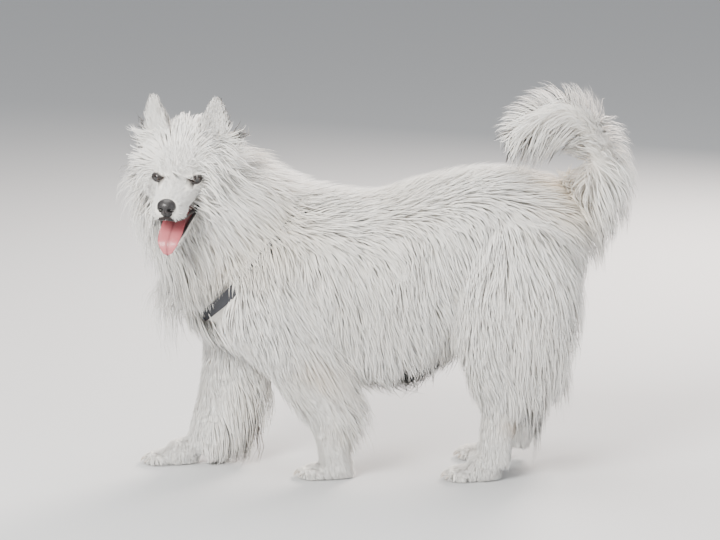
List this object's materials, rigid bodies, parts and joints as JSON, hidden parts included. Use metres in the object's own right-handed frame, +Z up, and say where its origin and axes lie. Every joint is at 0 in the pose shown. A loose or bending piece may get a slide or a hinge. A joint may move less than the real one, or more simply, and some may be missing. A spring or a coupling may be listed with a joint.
{
  "type": "samoyed dog figure",
  "caption": "Life-size standing samoyed with a thick white coat, curled tail, head turned to its left and mouth open, wearing a dark neck strap",
  "frame": {"origin": "on the floor, under the middle of the bounding box", "axes": "X along the body with the dog facing -X, Y across with its left side towards -Y, Z up"},
  "size_m": [1.0358, 0.433, 0.8063],
  "materials": {
    "coat": "long soft white hair with cream tints",
    "nose": "moist black skin with a fine bumpy grain",
    "tongue": "moist pink skin",
    "eye": "wet, dark brown",
    "strap": "dark woven webbing"
  },
  "bodies": {
    "root": {"head": "coat", "jaw": "coat", "nose": "nose", "tongue": "tongue", "eye_left": "eye", "eye_right": "eye", "ear_left": "coat", "ear_right": "coat", "neck": "coat", "torso": "coat", "tail_base": "coat", "tail_middle": "coat", "tail_tip": "coat", "fore_left_upper": "coat", "fore_left_lower": "coat", "fore_left_paw": "coat", "fore_right_upper": "coat", "fore_right_lower": "coat", "fore_right_paw": "coat", "hind_left_upper": "coat", "hind_left_lower": "coat", "hind_left_paw": "coat", "hind_right_upper": "coat", "hind_right_lower": "coat", "hind_right_paw": "coat", "neck_strap": "strap"}
  },
  "joints": []
}
